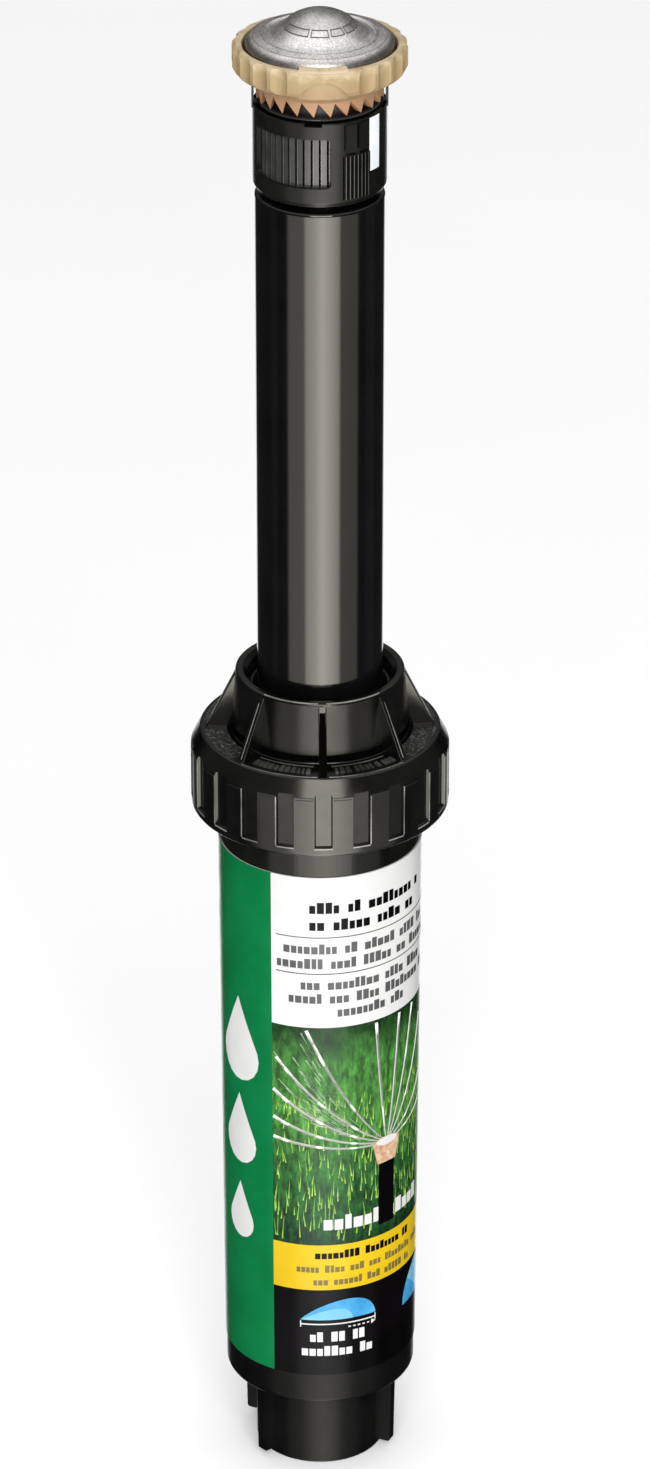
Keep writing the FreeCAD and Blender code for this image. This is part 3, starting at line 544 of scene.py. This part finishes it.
def add_ribbon(shape, points, widths, layers=1.0):
    """A thin printed stroke along (bearing, z) points, from the first width to the last."""
    sides = ([], [])
    for i, (b, z) in enumerate(points):
        b0, z0 = points[max(0, i - 1)]
        b1, z1 = points[min(len(points) - 1, i + 1)]
        across, along = (b1 - b0) * math.radians(label_r(z)), z1 - z0
        length = math.hypot(across, along) or 1.0
        half = (widths[0] + (widths[1] - widths[0]) * i / (len(points) - 1)) / 2
        turn = degrees_wide(-along / length * half, z)
        rise = across / length * half
        sides[0].append((b + turn, z + rise))
        sides[1].append((b - turn, z - rise))
    for i in range(len(points) - 1):
        quad = [sides[0][i], sides[0][i + 1], sides[1][i + 1], sides[1][i]]
        add_ink(shape, quad, layers, TINY_STEP)


def add_blob(shape, middle, radii, layers=1.0, start=0, end=360):
    """A filled ellipse or sector printed on the sleeve. Radii are lengths across and up."""
    b, z = middle
    wide = degrees_wide(radii[0], z)
    parts = 20
    sector = end - start < 360
    turn = [math.radians(start + (end - start) * i / parts) for i in range(parts + 1 if sector else parts)]
    rim = [(b + wide * math.cos(a), z + radii[1] * math.sin(a)) for a in turn]
    if sector:
        rim.append(middle)
    add_ink(shape, rim, layers, SMALL_STEP)


HEAD = (42.5, 67.4 * MM)        # bearing and height where the pictured water starts
HEAD_MIDDLE = 42.75             # bearing of the pictured head's middle


def lawn_picture():
    """The picture on the lawn panel: a little sprinkler that throws thin arcs of water."""
    def grass(shape):
        for _ in range(420):
            z = rng.uniform(49.5, 78) * MM
            b = rng.uniform(GREEN_EDGE + 1, FRONT_END - 2)
            nearness = 1.25 - (z / MM - 49) / 60
            tall = rng.uniform(1.5, 3.6) * MM * nearness
            lean = rng.uniform(-1.6, 1.6)
            wide = degrees_wide(0.13 * MM, z)
            add_ink(shape, [(b - wide, z), (b + wide, z), (b + lean, z + tall)], 0.5, TINY_STEP)

    def thrown(end_b, end_z, arch):
        """The path of a jet from the little head to an end on the lawn panel."""
        middle = ((HEAD[0] + end_b) / 2, HEAD[1] + (end_z * MM - HEAD[1]) * 0.25 + arch * MM * 0.15)
        return curve_points([HEAD, middle, (end_b, end_z * MM)])

    def streams(shape):
        ends = [(-28, 79.5, 6), (-28, 74, 2.5), (-28, 70, 1), (-26, 86, 10), (-8, 92, 6),
                (34, 92, 1), (52, 92, 2), (66, 92, 6), (80, 88, 9), (95, 80, 8), (108, 74, 5)]
        for end_b, end_z, arch in ends:
            add_ribbon(shape, thrown(end_b, end_z, arch), (0.26 * MM, 0.62 * MM))

    def mist(shape):
        for _ in range(46):
            path = thrown(rng.uniform(-28, -10), rng.uniform(76, 91.5), rng.uniform(2, 12))
            first = rng.randint(4, 11)
            last = min(CURVE_PARTS, first + rng.randint(2, 5))
            add_ribbon(shape, path[first:last + 1], (0.10 * MM, 0.18 * MM), layers=0.7)

    def stand(shape):
        add_ink(shape, rectangle(36.5, 48.5, 51 * MM, 63.6 * MM), 1.4)

    def head(shape):
        foot, top = 63.4 * MM, HEAD[1]
        add_ink(shape, [(35.5, foot), (49.5, foot), (53, top), (32.5, top)], 1.6)
        add_blob(shape, (HEAD_MIDDLE, top), (3.1 * MM, 1.2 * MM), 1.8)

    def lid(shape):
        add_blob(shape, (HEAD_MIDDLE, HEAD[1] + 0.3 * MM), (2.4 * MM, 0.8 * MM), 2.2)

    printed("picture_grass", grass, blade_ink)
    printed("picture_mist", mist, mist_ink)
    printed("picture_streams", streams, stream_ink)
    printed("picture_stand", stand, black_ink)
    printed("picture_head", head, tan_ink)
    printed("picture_lid", lid, white_ink)


def throw_icons():
    """Two blank diagrams on the black band: how far and how wide the water goes."""
    foot = 33.4 * MM
    fan_corner, fan_radii = (84, 31.5 * MM), (7.4 * MM, 7.4 * MM)

    def far(shape):
        path = [(-12, foot), (0, 37.2 * MM), (20, 39.0 * MM), (33, 37.4 * MM), (35, foot)]
        add_ink(shape, curve_points(path, 18), step=SMALL_STEP)

    def near(shape):
        path = [(-11, foot), (0, 35.6 * MM), (13, 36.6 * MM), (19, 35.4 * MM), (20, foot)]
        add_ink(shape, curve_points(path), 1.5, SMALL_STEP)

    def scale(shape):
        add_ink(shape, rectangle(-12, 35, 32.4 * MM, 32.65 * MM))
        for b in (-12, 34.4):
            add_ink(shape, rectangle(b, b + 0.6, 31.9 * MM, 33.2 * MM))
        for i in range(5):
            add_ink(shape, rectangle(17 + i * 3, 18.6 + i * 3, 31.55 * MM, 31.8 * MM))
        add_ink(shape, [(35, 31.7 * MM), (32, 32.15 * MM), (32, 31.2 * MM)], step=TINY_STEP)

    def wide(shape):
        add_blob(shape, fan_corner, fan_radii, start=92, end=180)

    def narrow(shape):
        add_blob(shape, fan_corner, fan_radii, 1.5, start=140, end=180)

    printed("icon_far", far, blue_ink)
    printed("icon_near", near, sky_ink)
    printed("icon_scale", scale, white_ink)
    printed("icon_wide", wide, sky_ink)
    printed("icon_narrow", narrow, blue_ink)


def green_emblem():
    """Three plain water drops down the green panel."""
    bearing = -54.5

    def drops(shape):
        for z, size in ((50, 3.4), (66, 4.2), (83.5, 5.0)):
            half = degrees_wide(size * MM, z * MM)
            turn = [math.radians(a) for a in range(-200, 21, 20)]
            body = [(bearing + half * math.cos(a), (z + size * math.sin(a)) * MM) for a in turn]
            tip = (bearing, (z + size * 2.3) * MM)
            add_ink(shape, body + [tip], step=SMALL_STEP)
    printed("emblem_drops", drops, white_ink)


def back_print():
    """Plain word blocks on the white back panel, and the film's overlap."""
    sleeve_patch("sleeve_seam", rectangle(226, 232, LABEL_BOTTOM, LABEL_TOP), white_ink, high=FILM * 2)
    large = [(138, 222, 113 - 4 * i, 1.7) for i in range(5)]
    small = [(138, 222, 88 - 2.9 * i, 1.2) for i in range(12)]
    sleeve_print("print_back", grey_ink, large + small)
    sleeve_print("print_back_foot", grey_ink, [(138, 200, 36 - 3 * i, 1.4) for i in range(4)])


sleeve_panels()
front_print()
lawn_picture()
throw_icons()
green_emblem()
back_print()


# --- Metal cover --------------------------------------------------------------------------
def cover_trim():
    """Engraved outlines of panels round the foot of the cover's crown, and fine rings on its brim."""
    on_cover = on_top_of("cover_disc")
    sunk, proud = -0.03 * MM, 0.02 * MM

    def lines(shape):
        inner, outer, line, gap = 5.12 * MM, 6.2 * MM, 0.15 * MM, 3.9
        side = math.degrees(line / outer)
        left = -70.0
        for length in (51.7, 29.0, 23.2, 20.2, 17.5, 15.0, 13.0, 11.0, 9.5, 8.0):
            right = left + length
            for box in (rectangle(left, right, inner, inner + line),
                        rectangle(left, right, outer - line, outer),
                        rectangle(left, left + side, inner + line, outer - line),
                        rectangle(right - side, right, inner + line, outer - line)):
                add_patch(shape, box, sunk, proud, on_cover)
            left = right + gap

    def rings(shape):
        for radius in (9.55 * MM, 10.9 * MM):
            add_patch(shape, rectangle(*ALL_ROUND, radius, radius + 0.13 * MM), sunk, 0.01 * MM, on_cover)

    new_piece("cover_lines", lines, engraved_line, "rotor")
    new_piece("cover_rings", rings, groove_steel, "rotor")


# --- Case and cap -------------------------------------------------------------------------
def case_band():
    """Smooth glossy band of the case between the sleeve and the cap."""
    def fill(shape):
        band = rectangle(*ALL_ROUND, LABEL_TOP + 0.15 * MM, CASE_WALL_TOP)
        add_patch(shape, band, -LABEL_THICK - 0.1 * MM, -LABEL_THICK + 0.03 * MM)
    new_piece("case_band", fill, band_black, "case")


def between(i, step, inset):
    """Bearings from the middle of the cap's pocket or gusset i to the next, less an inset at both ends."""
    left = CAP_TURN + i * step + inset
    return left, left + step - 2 * inset


def deck_grain():
    """Coarse grained fields between the gussets on the sides and back of the cap's deck."""
    on_deck = on_top_of("threaded_cap")

    def fill(shape):
        for i in range(1, 7):
            left, right = between(i, GUSSET_STEP, 5.0)
            add_patch(shape, rectangle(left, right, 16.1 * MM, 19.9 * MM), 0, 0.05 * MM, on_deck)
    new_piece("deck_grain", fill, grained_black, "cap")


def deck_marks():
    """Raised blank blocks in word-like groups, in the two front fields of the cap's deck, with painted
    glints.
    """
    on_deck = on_top_of("threaded_cap")
    top = 18.9

    def fill(shape):
        for start, end in ((-37, -6), (8, 41)):
            bearing = start
            while bearing < end:
                wide = rng.uniform(1.3, 2.8)
                foot = rng.uniform(17.0, 17.6)
                for inset, rise in ((0.0, 0.22), (0.35, 0.38)):
                    block = rectangle(bearing + inset, bearing + wide - inset,
                                      (foot + inset / 3) * MM, (top - inset / 3) * MM)
                    add_patch(shape, block, 0, rise * MM, on_deck)
                bearing += wide + rng.choice((0.8, 0.8, 2.4))
    new_piece("deck_marks", fill, glossy_glint_black, "cap")


def cap_trim():
    """Painted highlights on edges of the cap's deck, neck and pockets, the mould's parting line, and deep
    painted shade.
    """
    on_deck = on_top_of("threaded_cap")
    on_cap = on_wall(CAP_R)

    def on_neck(bearing, z, lift):
        share = (z - DECK_Z) / (cap_high.z - DECK_Z)
        return polar(bearing, NECK_FOOT_R + (NECK_RIM_R - NECK_FOOT_R) * share + lift, z)

    def borders(shape):
        line = 0.2 * MM
        for left, right in ((-41, -1.2), (4.4, 44)):
            for start, end, radius in ((left, right, 20.05 * MM), (left + 2.5, right - 2.5, 16.05 * MM)):
                add_patch(shape, rectangle(start, end, radius, radius + line), 0, 0.1 * MM, on_deck)

    def ridges(shape):
        # Painted highlights along the gusset tops and on the front of the neck's rim.
        for i in range(1, GUSSET_COUNT):
            ridge = bar(CAP_TURN + i * GUSSET_STEP, 0.22, 15.0 * MM, 19.4 * MM)
            add_patch(shape, ridge, 0, 0.05 * MM, on_deck)
        for left, right in ((-41.5, -1.2), (4.4, 44.7)):
            add_patch(shape, rectangle(left, right, 14.12 * MM, 14.3 * MM), 0, 0.04 * MM, on_deck)

    def lips(shape):
        """Painted highlights on the lower edge of every pocket and on its upright edge that is nearer to the
        sprinkler's side.
        """
        width = 0.5
        for i in range(POCKET_COUNT):
            middle = CAP_TURN + i * POCKET_STEP
            lip = bar(middle, POCKET_HALF, POCKET_LOW - 0.28 * MM, POCKET_LOW - 0.08 * MM)
            add_patch(shape, lip, 0, 0.06 * MM, on_cap)
            angle = math.radians(middle)
            aside = math.sin(angle) * math.copysign(1, math.cos(angle))
            if abs(aside) > 0.1:
                edge = middle + math.copysign(POCKET_HALF, aside)
                upright = rectangle(edge, edge + math.copysign(width, aside), POCKET_LOW, CAP_WALL_TOP)
                add_patch(shape, upright, 0, 0.06 * MM, on_cap)

    def parting(shape):
        for i in range(POCKET_COUNT):
            left, right = between(i, POCKET_STEP, POCKET_HALF + 0.58)
            add_patch(shape, rectangle(left, right, 138.95 * MM, 139.1 * MM), -0.05 * MM, 0.02 * MM, on_cap)

    def shade(shape):
        rise = 0.03 * MM
        add_patch(shape, bar(CAP_TURN, 1.8, 14.9 * MM, 20.1 * MM), 0, rise, on_deck)
        for i in range(GUSSET_COUNT):
            left, right = between(i, GUSSET_STEP, 2.6)
            add_patch(shape, rectangle(left, right, 15.5 * MM, 16.0 * MM), 0, rise, on_deck)
            foot = rectangle(left, right, DECK_Z + 0.1 * MM, DECK_Z + 1.6 * MM)
            add_patch(shape, foot, -0.05 * MM, rise, on_neck)

    new_piece("deck_border_highlights", borders, edge_highlight, "cap")
    new_piece("cap_ridge_highlights", ridges, lip_highlight, "cap")
    new_piece("cap_lip_highlights", lips, lip_highlight, "cap")
    new_piece("cap_parting", parting, seal_rubber, "cap")
    new_piece("cap_shade", shade, shade_black, "cap")


# --- Barrel and drum ----------------------------------------------------------------------
def barrel_trim():
    """Painted shade in the gaps between the barrel's fine ribs, round the tongues above and on its rim, and
    painted highlights on the ribs.
    """
    on_barrel = on_wall(BARREL_R)
    sunk, proud = -0.05 * MM, 0.02 * MM

    def on_rim(bearing, radius, lift):
        return polar(bearing, radius, BARREL_TOP + lift)

    def gaps(shape):
        for turn in GRIP_BEARINGS:
            for i in range(-4, 4):
                gap = bar(turn + (i + 0.5) * GRIP_STEP, 0.7, GRIP_LOW, GRIP_TOP)
                add_patch(shape, gap, sunk, proud, on_barrel)
            for tongue in (turn - 6.5, turn + 6.5):
                for side in (tongue - 5.9, tongue + 5.9):
                    add_patch(shape, bar(side, 0.45, 251.9 * MM, 256.3 * MM), sunk, proud, on_barrel)
                add_patch(shape, bar(tongue, 4.4, 251.0 * MM, 251.3 * MM), sunk, proud, on_barrel)

    def rim(shape):
        for left, right in ((3.2, 49.5), (71.0, 87.0), (98.5, 164.0), (184.0, 267.0), (278.5, 343.5)):
            add_patch(shape, rectangle(left, right, 10.4 * MM, 10.9 * MM), -0.03 * MM, proud, on_rim)

    def ribs(shape):
        for turn in GRIP_BEARINGS:
            for i in range(-3, 4):
                rib = bar(turn + i * GRIP_STEP, 0.32, GRIP_LOW, GRIP_TOP)
                add_patch(shape, rib, 0.1 * MM, 0.18 * MM, on_barrel)

    new_piece("barrel_groove_shade", gaps, shade_black, "riser")
    new_piece("barrel_rim_shade", rim, shade_black, "riser")
    new_piece("barrel_rib_highlights", ribs, edge_highlight, "riser")


def drum_trim():
    """Painted shade in the drum's grooves and round its top, and a painted highlight on an edge of each rib.
    """
    on_drum = on_wall(DRUM_ROOT_R)
    rib_face = 0.38 * MM

    def shade(shape):
        for i in range(DRUM_RIB_COUNT):
            groove = bar(i * DRUM_STEP, 0.95, WINDOW_LOW, WINDOW_TOP)
            add_patch(shape, groove, -0.05 * MM, 0.05 * MM, on_drum)
        add_patch(shape, rectangle(*ALL_ROUND, 255.2 * MM, 257.0 * MM), rib_face, 0.43 * MM, on_drum)

    def edges(shape):
        for i in range(DRUM_RIB_COUNT):
            left = i * DRUM_STEP + 1.25
            edge = rectangle(left, left + rng.uniform(0.3, 0.9), WINDOW_LOW, WINDOW_TOP)
            add_patch(shape, edge, rib_face, 0.42 * MM, on_drum)

    new_piece("drum_shade", shade, shade_black, "radius_control")
    new_piece("drum_edge_highlights", edges, edge_highlight, "radius_control")


case_band()
cover_trim()
barrel_trim()
drum_trim()
deck_grain()
deck_marks()
cap_trim()


# --- Springs ------------------------------------------------------------------------------
def add_coil(shape, radius, wire, low, top, turns):
    """A closed round-wire coil."""
    per_turn, around_wire = 40, 8
    count = int(turns * per_turn)
    rings = []
    for i in range(count + 1):
        angle = 2 * math.pi * turns * i / count
        middle = Vector((radius * math.cos(angle), radius * math.sin(angle), low + (top - low) * i / count))
        out = Vector((math.cos(angle), math.sin(angle), 0))
        ring = []
        for k in range(around_wire):
            a = 2 * math.pi * k / around_wire
            spoke = out * math.cos(a) + Vector((0, 0, math.sin(a)))
            ring.append(shape.verts.new(middle + wire / 2 * spoke))
        rings.append(ring)
    for a, b in zip(rings, rings[1:]):
        for k in range(around_wire):
            n = (k + 1) % around_wire
            shape.faces.new([a[k], a[n], b[n], b[k]])
    shape.faces.new(list(reversed(rings[0])))
    shape.faces.new(rings[-1])


def stretching_spring(name, node, fixed, turns, wire):
    """A coil in place of a rigid CAD spring, which is hidden. The coil is made as a piece of one body and
    then set free of it.
    """
    low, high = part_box(node)
    radius = high.x - wire / 2

    def fill(shape):
        add_coil(shape, radius, wire, low.z + wire / 2, high.z - wire / 2, turns)
    piece = new_piece(name, fill, wire_steel, fixed)
    piece.parent = None
    piece.matrix_world = Matrix.Identity(4)
    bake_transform(piece)
    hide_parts(node)


stretching_spring("retract_coil", "retract_spring", "case", turns=7.5, wire=1.16 * MM)
stretching_spring("flush_coil", "flush_spring", "riser", turns=6, wire=0.5 * MM)


# --- Floor, light and camera --------------------------------------------------------------
def floor():
    """A pale painted floor that glows faintly and that reflections don't see."""
    made = Shader("floor_paint", Roughness=0.9, Specular_IOR_Level=0.2, Emission_Color=(1, 1, 1, 1),
                  Emission_Strength=0.12)
    made.colour(made.ramp(made.noise(0.4), [(0.3, (0.90, 0.90, 0.90)), (0.7, (0.93, 0.93, 0.93))]))
    mesh = bpy.data.meshes.new("floor")
    half = 6.0
    corners = [(-half, -half, 0), (half, -half, 0), (half, half, 0), (-half, half, 0)]
    mesh.from_pydata(corners, [], [(0, 1, 2, 3)])
    mesh.materials.append(made.material)
    piece = bpy.data.objects.new("floor", mesh)
    bpy.context.scene.collection.objects.link(piece)
    piece.visible_glossy = False


def softbox(name, bearing, distance, height, size, watts, aim_z=0.14):
    """Rectangular area light that stands at a bearing and faces the sprinkler's axis."""
    light = bpy.data.lights.new(name, "AREA")
    light.shape = "RECTANGLE"
    light.size, light.size_y = size
    light.energy = watts
    lamp = bpy.data.objects.new(name, light)
    lamp.location = polar(bearing, distance, height)
    lamp.rotation_euler = (Vector((0, 0, aim_z)) - lamp.location).to_track_quat("-Z", "Y").to_euler()
    lamp.visible_camera = False
    bpy.context.scene.collection.objects.link(lamp)


# Upright light strips below the horizon, which only reflections see: (bearing, radiance).
STRIPS = ((-180, 1.5), (-163, 1.3), (-156, 0.03), (-100, 0.03), (-92, 0.08), (-84, 0.08), (-78, 0.03),
          (-62, 0.06), (-56, 1.3), (-33, 1.5), (-29, 1.5), (-24, 4.6), (-10, 6.0), (4, 8.6), (20, 6.4),
          (34, 4.2), (38, 0.95), (44, 1.0), (69, 0.8), (74, 0.06), (84, 0.03), (92, 0.08), (110, 0.08),
          (118, 0.03), (156, 0.03), (163, 1.3), (180, 1.5))
STRIP_PEAK = 9.0        # the radiance at the top of the ramp that holds the strips
CEILING_PEAK = 1.35     # the radiance straight above


def studio_world():
    """A bright ceiling that darkens towards the horizon, and light strips below it for the gloss."""
    world = bpy.data.worlds.new("studio")
    world.use_nodes = True
    tree = world.node_tree

    def maths(operation, *values):
        made = tree.nodes.new("ShaderNodeMath")
        made.operation = operation
        for socket, value in zip(made.inputs, values):
            if isinstance(value, bpy.types.NodeSocket):
                tree.links.new(value, socket)
            else:
                socket.default_value = value
        return made.outputs[0]

    def levels(factor, stops):
        """Grey levels by the factor. A stop is (place, level)."""
        made = tree.nodes.new("ShaderNodeValToRGB")
        tree.links.new(factor, made.inputs[0])
        elements = made.color_ramp.elements
        for element, (place, level) in zip((elements[0], elements[1]), (stops[0], stops[-1])):
            element.position, element.color = place, (level, level, level, 1.0)
        for place, level in stops[1:-1]:
            elements.new(place).color = (level, level, level, 1.0)
        return made.outputs[0]

    direction = tree.nodes.new("ShaderNodeSeparateXYZ")
    tree.links.new(tree.nodes.new("ShaderNodeTexCoord").outputs["Generated"], direction.inputs[0])
    x, y, z = direction.outputs
    bearing = maths("ARCTAN2", x, maths("MULTIPLY", y, -1.0))
    around = maths("MULTIPLY_ADD", bearing, 0.5 / math.pi, 0.5)
    strips = levels(around, [(0.5 + b / 360, level / STRIP_PEAK) for b, level in STRIPS])
    fade = levels(maths("MULTIPLY", z, -1.0), [(0.0, 0.0), (0.20, 0.10), (0.29, 0.62), (0.34, 1.0)])
    low = maths("MULTIPLY", maths("MULTIPLY", strips, fade), STRIP_PEAK)
    high = maths("MULTIPLY", levels(z, [(0.0, 0.08), (0.5, 0.10), (0.9, 1.0)]), CEILING_PEAK)
    strength = maths("MULTIPLY_ADD", maths("SUBTRACT", high, low), maths("GREATER_THAN", z, 0.0), low)
    background = tree.nodes["Background"]
    background.inputs["Color"].default_value = (1, 1, 1, 1)
    tree.links.new(strength, background.inputs["Strength"])
    bpy.context.scene.world = world


def lighting():
    studio_world()
    softbox("key", bearing=3, distance=1.1, height=0.75, size=(0.75, 0.75), watts=14.0)
    softbox("back", bearing=176, distance=0.6, height=0.58, size=(0.40, 0.24), watts=0.05, aim_z=0.27)
    bpy.context.scene.view_settings.view_transform = "Standard"


def camera():
    """A long lens in front of the sprinkler that looks down at it by the tilt."""
    tilt = 26.9
    data = bpy.data.cameras.new("camera")
    data.sensor_fit = "VERTICAL"
    data.sensor_height = 36.0
    data.lens = 165.7
    data.clip_start = 0.01
    view = bpy.data.objects.new("camera", data)
    view.location = (0.00085, -1.032, 0.664)
    view.rotation_euler = (math.radians(90 - tilt), 0, 0)
    bpy.context.scene.collection.objects.link(view)
    bpy.context.scene.camera = view


floor()
lighting()
camera()
